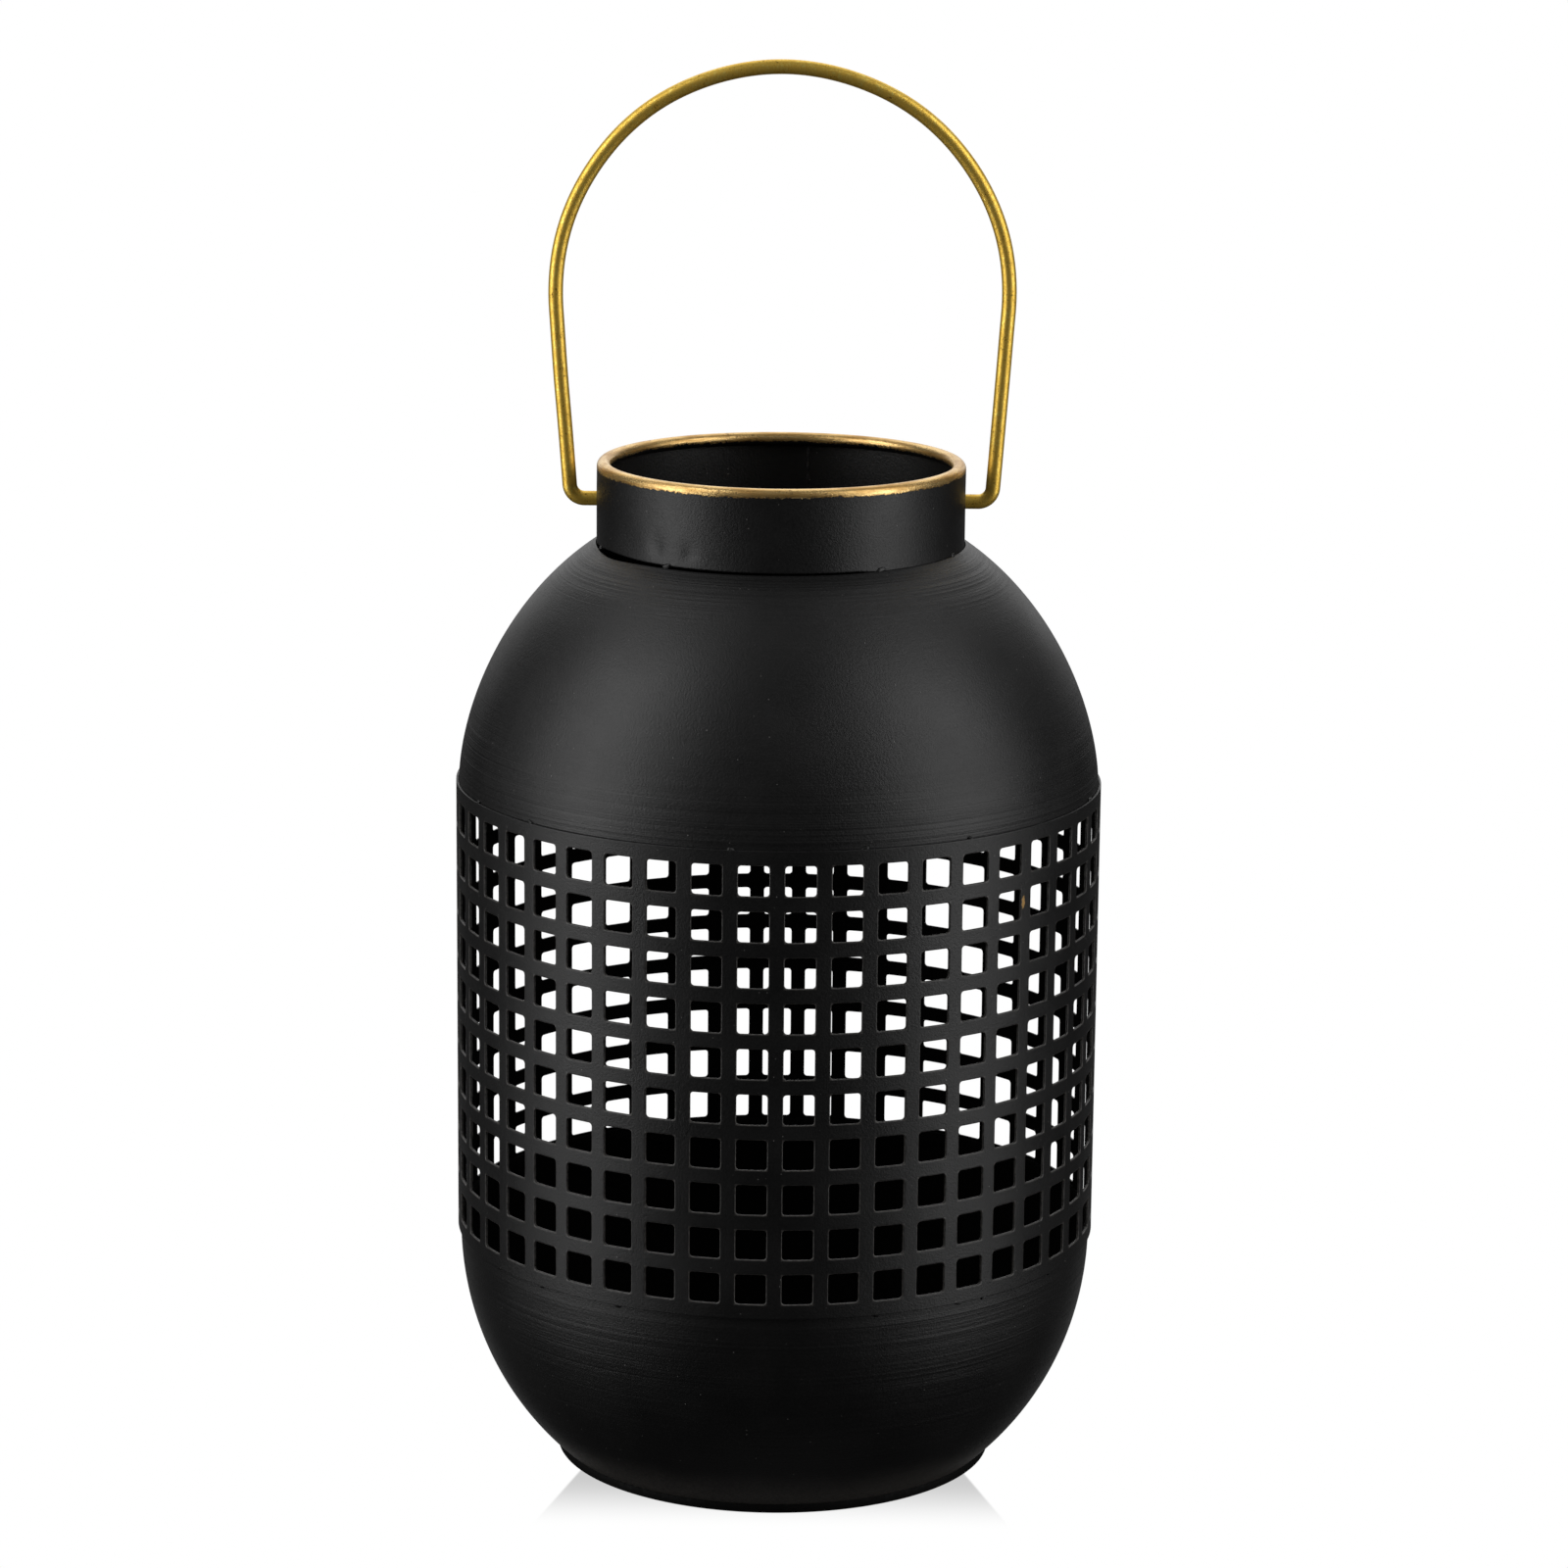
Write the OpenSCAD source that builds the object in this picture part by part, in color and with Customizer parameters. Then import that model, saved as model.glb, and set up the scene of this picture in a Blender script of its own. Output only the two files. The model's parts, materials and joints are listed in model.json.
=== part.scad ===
// Candle lantern: a perforated sheet-metal drum between two spun shells, with a
// wired-edge neck and a swinging wire bail. Millimetres, +Z up, front towards -Y.
// The origin is the centre of the foot ring's underside.

/* [Sheet] */
// Thickness of the sheet metal
sheet_t = 0.9; // [0.6:0.1:1.2]
// Gap left between two sheets that are slipped together
slip_gap = 0.05; // [0.02:0.01:0.1]

/* [Perforated band] */
// Outer radius of the rolled band
band_r = 107.9; // [104:0.1:112]
// Number of hole columns round the band
hole_columns = 45; // [40:1:45]
// Number of hole rows
hole_rows = 10; // [4:1:12]
// Distance from one row of holes to the next
hole_pitch = 15; // [14:0.5:18]
// Side of each square hole
hole_side = 10; // [6:0.5:10]
// Solid margin above the top row and below the bottom row
band_margin = 4.9; // [4:0.1:12]
// Turn of the hole pattern from the front centre line, in degrees
hole_phase = 0.1; // [-4:0.01:4]

/* [Shoulder dome] */
// Height the full dome curve would reach on the axis
dome_rise = 95.6; // [85:0.1:110]
// Fullness of the dome's crown
dome_crown = 1.69; // [1.4:0.01:2.2]
// Fullness of the dome's shoulder
dome_shoulder = 2.4; // [1.8:0.01:2.6]

/* [Lower bowl] */
// Depth the full bowl curve would reach on the axis
bowl_drop = 101.44; // [100:0.1:120]
// Fullness of the bowl's underside
bowl_crown = 2.01; // [1.6:0.01:2.4]
// Fullness of the bowl's side
bowl_side = 2.2; // [1.4:0.01:2.2]
// Depth that each shell's straight skirt slides inside the band
skirt_h = 4; // [2:0.1:4.5]

/* [Foot] */
// Outer radius of the foot ring
foot_r = 73.9; // [65:0.1:80]
// Height of the foot ring
foot_h = 3; // [2:0.1:6]

/* [Neck] */
// Outer radius of the neck collar
neck_r = 61.05; // [55:0.05:64]
// Height of the rim top above the top edge of the band
rim_above_band = 107.3; // [104:0.1:115]
// Depth that the collar reaches through the dome's opening
neck_insert = 3.5; // [2:0.1:6]
// Radius of the wire inside the curled rim
rim_wire_r = 1.6; // [1:0.05:2]
// Height of the bail's pivot below the rim top
pivot_below_rim = 13.5; // [12:0.1:16]

/* [Bail] */
// Radius of the bail wire
bail_wire_r = 2.4; // [2:0.05:2.6]
// Radius of the bail's top arc, at the middle of the wire
bail_arc_r = 74.6; // [72:0.1:80]
// Height of the arc's centre above the pivot
bail_arc_h = 68; // [60:0.5:80]
// Inward lean of the bail's legs, in degrees
bail_lean = 4.3; // [2:0.1:5]
// Radius of the bend above each pivot, at the middle of the wire
bail_bend_r = 4.9; // [4:0.1:6]
// Radial play of the wire in its hole
pivot_play = 0.08; // [0.02:0.01:0.1]

/* [Hidden] */
$fn = 180;

black = "#1b1b1b";
gold = "#b08a3a";
weld_black = "#141414";

// Sheet radii
band_mid_r = band_r - sheet_t / 2;
band_inner_r = band_r - sheet_t;
shell_r = band_inner_r - slip_gap;
neck_inner_r = neck_r - sheet_t;

// Steps along each shell's outline
profile_steps = 28;

// Angle along a shell outline at which its radius is r
function outline_turn(r, full_r, side) = acos(pow(r / full_r, side / 2));
// Point of the outline: radius, and height from the open edge
function outline_point(turn, full_r, rise, side, crown) =
  [full_r * pow(cos(turn), 2 / side), rise * pow(sin(turn), 2 / crown)];
// Outline from the open edge to radius end_r
function outline(full_r, rise, side, crown, end_r) =
  let (last = outline_turn(end_r, full_r, side))
  [for (i = [0:profile_steps])
    outline_point(last * i / profile_steps, full_r, rise, side, crown)];
function reversed(list) = [for (i = [len(list) - 1:-1:0]) list[i]];

// Heights above the floor
bowl_depth = outline_point(outline_turn(foot_r, shell_r, bowl_side),
  shell_r, bowl_drop, bowl_side, bowl_crown)[1];
band_h = (hole_rows - 1) * hole_pitch + hole_side + 2 * band_margin;
band_z = foot_h + bowl_depth;
band_top_z = band_z + band_h;
rim_top_z = band_top_z + rim_above_band;
neck_hole_r = neck_r + slip_gap;
neck_joint_z = band_top_z + outline_point(outline_turn(neck_hole_r, shell_r, dome_shoulder),
  shell_r, dome_rise, dome_shoulder, dome_crown)[1];
pivot_z = rim_top_z - pivot_below_rim;

// Curled rim: the sheet wraps a wire, flush with the collar's outside
curl_gap = 0.02;
curl_inner_r = rim_wire_r + curl_gap;
curl_r = curl_inner_r + 0.7 * sheet_t;
curl_centre_r = neck_r - curl_r;
curl_centre_z = rim_top_z - curl_r;
curl_slot = 0.5;

// Bail: each end passes the collar wall and is hammered to a flat head inside
pivot_hole_r = bail_wire_r + pivot_play;
bail_head_r = 3.4;
bail_head_t = 1.8;
bail_head_x = neck_inner_r - 0.6;
bail_corner_x = bail_arc_r * cos(bail_lean)
  - (bail_arc_h - bail_arc_r * sin(bail_lean)) * tan(bail_lean);
bail_bend_run = bail_bend_r * tan((90 - bail_lean) / 2);
// The curved stretches are a hair thicker, and the straight ones reach into them
curve_swell = 0.02;
curve_wire_r = bail_wire_r + curve_swell;
straight_reach = 0.2;
bail_leg_len = (bail_arc_h - bail_arc_r * sin(bail_lean)) / cos(bail_lean) - bail_bend_run;

// Seams and tack welds; angles run from the front centre line towards +X
seam_weld_r = 0.7;
column_step = 360 / hole_columns;
band_seam_angle = hole_phase + column_step * 22;
collar_seam_angle = 171.3;
tack_r = 0.9;
top_tacks = [-66, -48, -8, 15, 35, 73, 118, 164, 214, 258];
bottom_tacks = [-58, -45, -28, 18, 34, 40, 58, 122, 171, 219, 262];
neck_tack_angles = [-75, -37, 32, 67, 104, 150, 196, 240];
foot_tack_angles = [for (i = [0:5]) 60 * i + 20];

// Places its children round the axis, on the front centre line turned by angle
module around(angle, radius, height) {
  rotate([0, 0, angle])
    translate([0, -radius, height])
      children();
}

// Sheet shell between an outer outline and the same outline one sheet smaller
module shell_wall(rise, side, crown, end_r) {
  outer = outline(shell_r, rise, side, crown, end_r);
  inner = outline(shell_r - sheet_t, rise - sheet_t, side, crown, end_r);
  polygon(concat(
    [[shell_r, -skirt_h]], outer,
    reversed(inner), [[shell_r - sheet_t, -skirt_h]]));
}

module lower_bowl() {
  color(black)
    translate([0, 0, band_z])
      mirror([0, 0, 1])
        rotate_extrude() {
          shell_wall(bowl_drop, bowl_side, bowl_crown, foot_r - sheet_t);
          translate([0, bowl_depth - sheet_t])
            square([foot_r - sheet_t / 2, sheet_t]);
        }
}

module foot_ring() {
  color(black)
    rotate_extrude()
      translate([foot_r - sheet_t, 0])
        square([sheet_t, foot_h]);
}

module band_holes() {
  for (row = [0:hole_rows - 1])
    for (column = [0:hole_columns - 1])
      around(hole_phase + (column + 0.5) * column_step, band_mid_r,
        band_z + band_margin + hole_side / 2 + row * hole_pitch)
        cube([hole_side, 6 * sheet_t, hole_side], center = true);
}

module band_seam() {
  around(band_seam_angle, band_mid_r, band_z)
    cylinder(r = seam_weld_r, h = band_h, $fn = 24);
}

module perforated_band() {
  color(black)
    difference() {
      translate([0, 0, band_z])
        rotate_extrude()
          translate([band_inner_r, 0])
            square([sheet_t, band_h]);
      band_holes();
      band_seam();
    }
}

module shoulder_dome() {
  color(black)
    translate([0, 0, band_top_z])
      rotate_extrude()
        shell_wall(dome_rise, dome_shoulder, dome_crown, neck_hole_r);
}

module curl_section() {
  translate([curl_centre_r, curl_centre_z])
    difference() {
      circle(r = curl_r, $fn = 48);
      circle(r = curl_inner_r, $fn = 48);
      translate([curl_r - sheet_t - curl_slot, -curl_r])
        square([curl_slot, curl_r]);
    }
}

module collar_seam() {
  around(collar_seam_angle, neck_r - sheet_t / 2, neck_joint_z - neck_insert)
    cylinder(r = seam_weld_r, h = curl_centre_z - curl_r - neck_joint_z + neck_insert, $fn = 24);
}

module neck_collar() {
  color(black)
    difference() {
      rotate_extrude() {
        translate([neck_inner_r, neck_joint_z - neck_insert])
          square([sheet_t, curl_centre_z - neck_joint_z + neck_insert]);
        curl_section();
      }
      translate([0, 0, pivot_z])
        rotate([0, 90, 0])
          cylinder(r = pivot_hole_r, h = 2 * neck_r + 10, center = true, $fn = 48);
      collar_seam();
    }
}

module rim_wire() {
  color("silver")
    rotate_extrude()
      translate([curl_centre_r, curl_centre_z])
        circle(r = rim_wire_r, $fn = 48);
}

// A wire arc in the XZ plane round the origin, from start over turn degrees
module wire_arc(radius, start, turn) {
  rotate([90, 0, 0])
    rotate([0, 0, start])
      rotate_extrude(angle = turn)
        translate([radius, 0])
          circle(r = curve_wire_r, $fn = 48);
}

// A bar along +X from x_start to x_end
module bar_x(radius, x_start, x_end) {
  translate([x_start, 0, 0])
    rotate([0, 90, 0])
      cylinder(r = radius, h = x_end - x_start, $fn = 48);
}

// One half of the bail below its top arc, on the +X side
module bail_half() {
  bar_x(bail_head_r, bail_head_x - bail_head_t, bail_head_x);
  bar_x(bail_wire_r, bail_head_x - bail_head_t / 2, bail_corner_x - bail_bend_run + straight_reach);
  translate([bail_corner_x - bail_bend_run, 0, bail_bend_r])
    wire_arc(bail_bend_r, -90, 90 - bail_lean);
  translate([0, 0, bail_arc_h])
    rotate([0, bail_lean, 0])
      translate([bail_arc_r, 0, -bail_leg_len - straight_reach])
        cylinder(r = bail_wire_r, h = bail_leg_len + 2 * straight_reach, $fn = 48);
}

module bail_handle() {
  color(gold)
    translate([0, 0, pivot_z]) {
      bail_half();
      mirror([1, 0, 0])
        bail_half();
      translate([0, 0, bail_arc_h])
        wire_arc(bail_arc_r, -bail_lean, 180 + 2 * bail_lean);
    }
}

module band_seam_weld() {
  color(weld_black)
    band_seam();
}

module collar_seam_weld() {
  color(weld_black)
    collar_seam();
}

// Small round weld tacks at the given angles
module tacks(angles, radius, height) {
  color(weld_black)
    for (angle = angles)
      around(angle, radius, height)
        sphere(r = tack_r, $fn = 24);
}

module top_joint_tacks() {
  tacks(top_tacks, band_inner_r, band_top_z);
}

module bottom_joint_tacks() {
  tacks(bottom_tacks, band_inner_r, band_z);
}

module neck_tacks() {
  tacks(neck_tack_angles, neck_r, neck_joint_z);
}

module foot_tacks() {
  tacks(foot_tack_angles, foot_r - sheet_t, foot_h);
}

lower_bowl();
foot_ring();
perforated_band();
shoulder_dome();
neck_collar();
rim_wire();
bail_handle();
band_seam_weld();
collar_seam_weld();
top_joint_tacks();
bottom_joint_tacks();
neck_tacks();
foot_tacks();
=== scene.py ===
"""Candle lantern: the looks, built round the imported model. Metres, +Z up, front towards -Y."""

import json
import math

import bmesh
import bpy
import numpy as np
from mathutils import Matrix, Vector


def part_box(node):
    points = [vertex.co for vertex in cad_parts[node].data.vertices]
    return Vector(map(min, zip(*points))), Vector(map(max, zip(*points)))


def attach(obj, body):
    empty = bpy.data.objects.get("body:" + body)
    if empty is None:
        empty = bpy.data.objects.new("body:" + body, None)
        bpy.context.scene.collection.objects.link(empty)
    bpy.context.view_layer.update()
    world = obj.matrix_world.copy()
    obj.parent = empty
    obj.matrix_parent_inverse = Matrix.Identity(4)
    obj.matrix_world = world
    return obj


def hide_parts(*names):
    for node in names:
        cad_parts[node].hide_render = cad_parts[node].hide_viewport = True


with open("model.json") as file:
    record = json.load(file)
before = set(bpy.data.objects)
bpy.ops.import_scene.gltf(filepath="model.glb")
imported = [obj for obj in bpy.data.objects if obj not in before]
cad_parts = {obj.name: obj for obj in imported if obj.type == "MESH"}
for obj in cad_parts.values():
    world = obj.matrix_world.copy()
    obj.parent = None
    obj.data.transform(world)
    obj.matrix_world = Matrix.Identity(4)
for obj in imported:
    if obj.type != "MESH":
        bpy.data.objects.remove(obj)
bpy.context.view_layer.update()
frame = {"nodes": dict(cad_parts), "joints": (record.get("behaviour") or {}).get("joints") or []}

MM = 0.001


# ---------------------------------------------------------------- sizes from the frame

band_low, band_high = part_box("perforated_band")
dome_low, dome_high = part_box("shoulder_dome")
collar_low, collar_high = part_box("neck_collar")
foot_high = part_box("foot_ring")[1]
bail_low, bail_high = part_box("bail_handle")
wire_low, wire_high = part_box("rim_wire")
JOINT = frame["joints"][0]

SHEET = 0.9 * MM
BAND_R = band_high.x
SHELL_R = dome_high.x
BAND_BOTTOM = band_low.z
BAND_TOP = band_high.z
BAND_MIDDLE = (BAND_TOP + BAND_BOTTOM) / 2
NECK_R = collar_high.x
RIM_TOP = collar_high.z
FOOT_R = foot_high.x
FOOT_H = foot_high.z
PIVOT_Z = JOINT["pos_m"][2]

# Outline fullness of the two spun shells: side exponent, crown exponent
DOME_SIDE, DOME_CROWN = 2.4, 1.69
BOWL_SIDE, BOWL_CROWN = 2.2, 2.01
SKIRT_H = BAND_TOP - dome_low.z

COLUMNS, ROWS = 45, 10
PITCH = 15 * MM
HOLE_HALF = 5 * MM
HOLE_CORNER = 1.1 * MM
BEVEL = 0.32 * MM

BAIL_WIRE = 2.42 * MM
PIVOT_PLAY = 0.08 * MM
BAIL_LEAN = math.radians(4.3)
BAIL_ARC_R = (bail_high.x - bail_low.x) / 2 - BAIL_WIRE
BAIL_ARC_H = bail_high.z - BAIL_WIRE - BAIL_ARC_R - PIVOT_Z
BAIL_BEND_R = 4.9 * MM

CURL_R = (wire_high.z - wire_low.z) / 2 + (RIM_TOP - wire_high.z)
CURL_CENTRE = (NECK_R - CURL_R, RIM_TOP - CURL_R)

AROUND = 360
rng = np.random.default_rng(7)


# ---------------------------------------------------------------- mesh helpers

def new_object(name, verts, faces, material, smooth=True):
    """A mesh object from arrays: doubled points merged, faces outward, one material."""
    mesh = bpy.data.meshes.new(name)
    mesh.from_pydata([tuple(v) for v in verts], [], [tuple(f) for f in faces])
    tidy = bmesh.new()
    tidy.from_mesh(mesh)
    bmesh.ops.remove_doubles(tidy, verts=tidy.verts, dist=1e-6)
    bmesh.ops.recalc_face_normals(tidy, faces=tidy.faces)
    tidy.to_mesh(mesh)
    tidy.free()
    mesh.materials.append(material)
    mesh.polygons.foreach_set("use_smooth", [smooth] * len(mesh.polygons))
    obj = bpy.data.objects.new(name, mesh)
    bpy.context.scene.collection.objects.link(obj)
    return obj


def turned(outline, warp=None, around=AROUND):
    """Vertices and faces of a closed outline of (radius, height) turned round the axis.
    warp(radius, angle, height) may return changed radius and height."""
    radius, height = np.array(outline, float).T
    count = len(radius)
    angle = np.linspace(0, 2 * math.pi, around, endpoint=False)
    rr = np.repeat(radius[:, None], around, 1)
    zz = np.repeat(height[:, None], around, 1)
    aa = np.repeat(angle[None, :], count, 0)
    if warp:
        rr, zz = warp(rr, aa, zz)
    verts = np.stack([rr * np.sin(aa), -rr * np.cos(aa), zz], -1).reshape(-1, 3)
    i = np.arange(count)[:, None]
    j = np.arange(around)[None, :]
    i2, j2 = (i + 1) % count, (j + 1) % around
    faces = np.stack([i * around + j, i * around + j2, i2 * around + j2, i2 * around + j], -1)
    return verts, faces.reshape(-1, 4)


def arc(centre, radius, start, end, steps):
    """Points on a circle from start to end degrees."""
    turn = np.radians(np.linspace(start, end, steps + 1))
    return [(centre[0] + radius * math.cos(t), centre[1] + radius * math.sin(t)) for t in turn]


def spaced(a, b, steps):
    """Evenly spaced points from a up to, and not including, b."""
    return [tuple(np.array(a) + (np.array(b) - np.array(a)) * k / steps) for k in range(steps)]


def superellipse(full_r, rise, side, crown, last, steps):
    """A spun shell's outline from its open edge: radius, and distance from that edge."""
    turn = np.linspace(0, last, steps + 1)
    return np.stack([full_r * np.cos(turn) ** (2 / side), rise * np.sin(turn) ** (2 / crown)], 1)


def turn_at_radius(r, full_r, side):
    return math.acos((r / full_r) ** (side / 2))


def turn_at_height(h, rise, crown):
    return math.asin((h / rise) ** (crown / 2))


def smooth_bump(x, centre, width):
    return np.exp(-((x - centre) / width) ** 2)


def wrapped(angle, centre):
    """Angle from a centre, kept within half a turn."""
    return (angle - centre + math.pi) % (2 * math.pi) - math.pi


# ---------------------------------------------------------------- material helpers

class Nodes:
    """A short way to write a node tree."""

    def __init__(self, tree, coordinates):
        self.tree = tree
        self.place = self.add("ShaderNodeTexCoord").outputs[coordinates]

    def add(self, kind, **settings):
        node = self.tree.nodes.new(kind)
        for key, value in settings.items():
            setattr(node, key, value)
        return node

    def put(self, value, socket):
        if isinstance(value, bpy.types.NodeSocket):
            self.tree.links.new(value, socket)
        else:
            socket.default_value = value

    def math(self, operation, a, b=0.0, c=0.0, clamp=False):
        node = self.add("ShaderNodeMath", operation=operation, use_clamp=clamp)
        for value, socket in zip((a, b, c), node.inputs):
            self.put(value, socket)
        return node.outputs[0]

    def noise(self, scale, detail=2.0, roughness=0.5, place=None):
        node = self.add("ShaderNodeTexNoise")
        self.put(place or self.place, node.inputs["Vector"])
        node.inputs["Scale"].default_value = scale
        node.inputs["Detail"].default_value = detail
        node.inputs["Roughness"].default_value = roughness
        return node.outputs["Fac"]

    def ramp(self, value, low, high, out_low=0.0, out_high=1.0):
        node = self.add("ShaderNodeMapRange", interpolation_type="SMOOTHSTEP")
        self.put(value, node.inputs["Value"])
        for key, number in zip(("From Min", "From Max", "To Min", "To Max"),
                               (low, high, out_low, out_high)):
            self.put(number, node.inputs[key])
        return node.outputs["Result"]

    def mix(self, factor, a, b):
        node = self.add("ShaderNodeMix", data_type="RGBA")
        self.put(factor, node.inputs["Factor"])
        for value, key in ((a, "A"), (b, "B")):
            socket = [s for s in node.inputs if s.name == key and s.type == "RGBA"][0]
            self.put((*value, 1.0) if isinstance(value, tuple) else value, socket)
        return [s for s in node.outputs if s.type == "RGBA"][0]

    def bump(self, height, strength, distance, normal=None):
        node = self.add("ShaderNodeBump")
        node.inputs["Strength"].default_value = strength
        node.inputs["Distance"].default_value = distance
        self.put(height, node.inputs["Height"])
        if normal:
            self.put(normal, node.inputs["Normal"])
        return node.outputs["Normal"]

    def split(self):
        node = self.add("ShaderNodeSeparateXYZ")
        self.put(self.place, node.inputs[0])
        return node.outputs

    def radius(self):
        x, y, _ = self.split()
        return self.math("SQRT", self.math("ADD", self.math("MULTIPLY", x, x), self.math("MULTIPLY", y, y)))

    def vector(self, x, y, z):
        node = self.add("ShaderNodeCombineXYZ")
        for value, socket in zip((x, y, z), node.inputs):
            self.put(value, socket)
        return node.outputs[0]

    def stretched(self, *factors):
        """The place with each of its coordinates scaled by its own factor."""
        return self.vector(*[self.math("MULTIPLY", s, k) for s, k in zip(self.split(), factors)])


class Graph(Nodes):
    """The node tree of a new material."""

    def __init__(self, name):
        self.material = bpy.data.materials.new(name)
        self.material.use_nodes = True
        super().__init__(self.material.node_tree, "Object")
        self.shader = self.tree.nodes["Principled BSDF"]


# ---------------------------------------------------------------- materials

BLACK = (0.0011, 0.0011, 0.0012)
BLACK_LIGHT = (0.0026, 0.0025, 0.0025)
DUST = (0.15, 0.145, 0.14)
PALE_FOOT = (0.056, 0.051, 0.046)
# Hole-edge colour: partly edge wear, partly a painted highlight on the bevels.
EDGE_WEAR_AND_SHEEN = (0.055, 0.051, 0.047)
STRAY_GOLD = (0.42, 0.24, 0.07)
# Inside colours: darker than the outside coat, painted shade for the lantern's shaded inside.
SHADED_INNER_BLACK, SHADED_INNER_LIGHTER = (0.0004, 0.0004, 0.0004), (0.0012, 0.0011, 0.0010)
# Foot colours: the black is darker than the rest, painted shadow where the foot stands on the table; the
# scuff colour marks scuffs.
FOOT_SHADOW_BLACK, FOOT_SCUFF = (0.0006, 0.0006, 0.0006), (0.0022, 0.0020, 0.0018)
RIM_DEEP, RIM_PALE = (0.52, 0.295, 0.085), (0.93, 0.65, 0.27)
RIM_WORN, RIM_THIN = (0.30, 0.18, 0.075), (0.13, 0.075, 0.03)
BAIL_BROWN, BAIL_GOLD, BAIL_BRIGHT = (0.19, 0.095, 0.013), (0.86, 0.56, 0.09), (1.0, 0.80, 0.20)
STEEL, STEEL_STAIN = (0.42, 0.42, 0.43), (0.20, 0.18, 0.16)

PEEL_DEPTH = 0.13 * MM
RING_DEPTH = 0.30 * MM


def spin_rings(g, scale, wander):
    """Fine rings left by spinning: noise over radius and height, nearly constant round the axis."""
    x, y, z = g.split()
    place = g.vector(
        g.math("MULTIPLY_ADD", x, wander, g.math("MULTIPLY", g.radius(), scale)),
        g.math("MULTIPLY", y, wander),
        g.math("MULTIPLY", z, scale))
    return g.noise(1.0, 3.0, 0.6, place)


def dust_specks(g):
    """Sparse pale specks of dust."""
    cells = g.add("ShaderNodeTexVoronoi", feature="F1")
    cells.inputs["Scale"].default_value = 400
    g.put(g.place, cells.inputs["Vector"])
    pick = g.add("ShaderNodeSeparateColor")
    g.put(cells.outputs["Color"], pick.inputs[0])
    size = g.ramp(pick.outputs[1], 0.0, 1.0, 0.03, 0.075)
    near = g.math("LESS_THAN", cells.outputs["Distance"], size)
    return g.math("MULTIPLY", near, g.math("GREATER_THAN", pick.outputs[0], 0.62))


def coat_nodes(g, ring_mask=None):
    """Colour, roughness and normal of the satin black powder coat, with spun rings by a mask."""
    blotch = g.noise(38, 3)
    grain = g.noise(1350, 2, 0.6)
    fine = g.noise(3000, 1)
    mottle = g.math("ADD", g.math("MULTIPLY", blotch, 0.6), g.math("MULTIPLY", grain, 0.4))
    colour = g.mix(g.ramp(mottle, 0.38, 0.66), BLACK, BLACK_LIGHT)
    colour = g.mix(dust_specks(g), colour, DUST)
    rough = g.math("ADD", g.ramp(blotch, 0.3, 0.7, 0.43, 0.48), g.math("MULTIPLY_ADD", grain, 0.14, -0.07))
    peel = g.math("ADD", grain, g.math("MULTIPLY", fine, 0.5))
    normal = g.bump(peel, 0.75, PEEL_DEPTH)
    if ring_mask is not None:
        ring = spin_rings(g, 900, 2.0)
        broad = spin_rings(g, 260, 1.0)
        where = g.math("MULTIPLY", ring_mask, g.ramp(spin_rings(g, 30, 4.0), 0.38, 0.62, 0.45, 1.0))
        both = g.math("ADD", ring, g.math("MULTIPLY", broad, 1.6))
        normal = g.bump(g.math("MULTIPLY", both, where), 1.0, RING_DEPTH, normal)
        rough = g.math("ADD", rough, g.math("MULTIPLY", where, g.math("MULTIPLY_ADD", ring, 0.16, -0.08)))
    return colour, rough, normal


def finish_coat(g, colour, rough, normal):
    """Joins the three to the shader and returns the material."""
    g.put(colour, g.shader.inputs["Base Color"])
    g.put(rough, g.shader.inputs["Roughness"])
    g.put(normal, g.shader.inputs["Normal"])
    return g.material


def plain_coat(name):
    g = Graph(name)
    return finish_coat(g, *coat_nodes(g))


def shaded_inner_coat(name):
    """The coat inside the lantern: duller than outside, and darker as painted shade for its shaded inside,
    matched to the photo.
    """
    g = Graph(name)
    cloud = g.noise(60, 4, 0.6)
    g.shader.inputs["Specular IOR Level"].default_value = 0.05
    normal = g.bump(g.noise(850, 2, 0.6), 0.6, 0.11 * MM)
    return finish_coat(g, g.mix(g.ramp(cloud, 0.35, 0.65), SHADED_INNER_BLACK, SHADED_INNER_LIGHTER),
                       g.ramp(cloud, 0.3, 0.7, 0.72, 0.90), normal)


def shadowed_foot_coat(name):
    """The foot ring: scuffed, duller than the rest, and darker as painted shadow where it stands on the
    table, matched to the photo.
    """
    g = Graph(name)
    scuff = g.noise(420, 4, 0.65)
    g.shader.inputs["Specular IOR Level"].default_value = 0.12
    return finish_coat(g, g.mix(g.ramp(scuff, 0.4, 0.66), FOOT_SHADOW_BLACK, FOOT_SCUFF),
                       g.ramp(scuff, 0.3, 0.7, 0.62, 0.82), g.bump(scuff, 0.5, 0.1 * MM))


def dome_coat(name):
    """Spun rings show most just below the neck and above the drum."""
    g = Graph(name)
    z = g.split()[2]
    top = g.ramp(z, dome_high.z - 17 * MM, dome_high.z - 5 * MM, 0.0, 0.95)
    base = g.ramp(z, BAND_TOP + 8 * MM, BAND_TOP + 46 * MM, 0.75, 0.0)
    mask = g.math("ADD", g.math("MAXIMUM", top, base), 0.10)
    return finish_coat(g, *coat_nodes(g, mask))


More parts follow.
